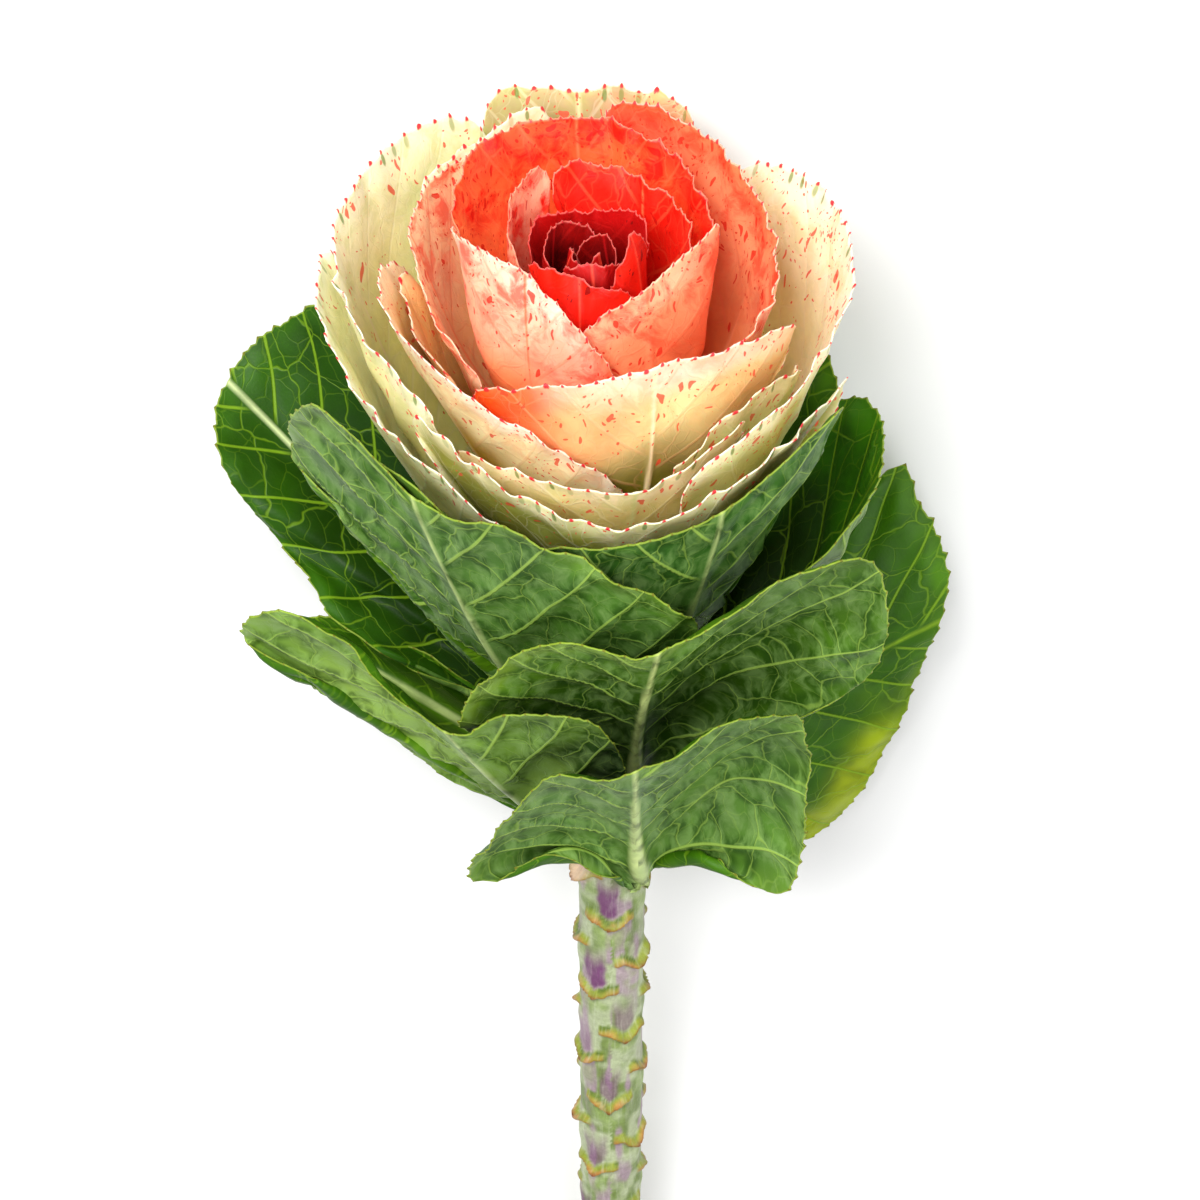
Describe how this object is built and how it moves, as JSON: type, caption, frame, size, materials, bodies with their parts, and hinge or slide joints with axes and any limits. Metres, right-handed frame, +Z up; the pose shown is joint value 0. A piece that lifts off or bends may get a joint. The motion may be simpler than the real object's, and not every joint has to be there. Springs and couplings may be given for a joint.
{
  "type": "ornamental kale stem",
  "caption": "Cut stem of ornamental kale lying on its side: frilled cream, coral and red rosette above broad green leaves on a leaf-scarred stalk.",
  "frame": {"origin": "centre of the plan outline, on the surface that the stem lies on", "axes": "+Z is up; the stalk runs along Y, with its cut end towards +Y and the rosette towards -Y; the rosette's open side faces up and towards -Y"},
  "size_m": [0.1607, 0.3482, 0.1171],
  "materials": {
    "stalk": "satin",
    "green_leaf": "satin",
    "cream_leaf": "satin",
    "peach_leaf": "satin",
    "coral_leaf": "satin",
    "red_leaf": "satin",
    "dark_leaf": "satin"
  },
  "bodies": {
    "root": {"stem": "stalk", "leaf_front_low": "green_leaf", "leaf_back_low": "green_leaf", "leaf_left_low": "green_leaf", "leaf_right_back": "green_leaf", "leaf_centre": "green_leaf", "leaf_left_back": "green_leaf", "leaf_left_mid": "green_leaf", "leaf_left_front": "green_leaf", "leaf_back_mid": "green_leaf", "leaf_right": "green_leaf", "leaf_upper_front": "green_leaf", "leaf_back_high": "green_leaf", "leaf_upper_left": "green_leaf", "cream_front": "cream_leaf", "cream_far_left": "cream_leaf", "cream_back": "cream_leaf", "cream_right": "cream_leaf", "cream_left": "cream_leaf", "cream_low_front": "cream_leaf", "cream_low_right": "cream_leaf", "cream_upper_left": "cream_leaf", "peach_left": "peach_leaf", "peach_inner_left": "peach_leaf", "peach_front": "peach_leaf", "coral_left": "coral_leaf", "coral_right": "coral_leaf", "coral_front_left": "coral_leaf", "coral_front_right": "coral_leaf", "red_back": "red_leaf", "red_inner_left": "red_leaf", "red_inner_right": "red_leaf", "dark_back": "dark_leaf", "dark_front": "dark_leaf", "dark_right": "dark_leaf", "heart_1": "dark_leaf", "heart_2": "dark_leaf", "heart_3": "dark_leaf", "heart_4": "dark_leaf", "heart_5": "dark_leaf"}
  },
  "joints": []
}
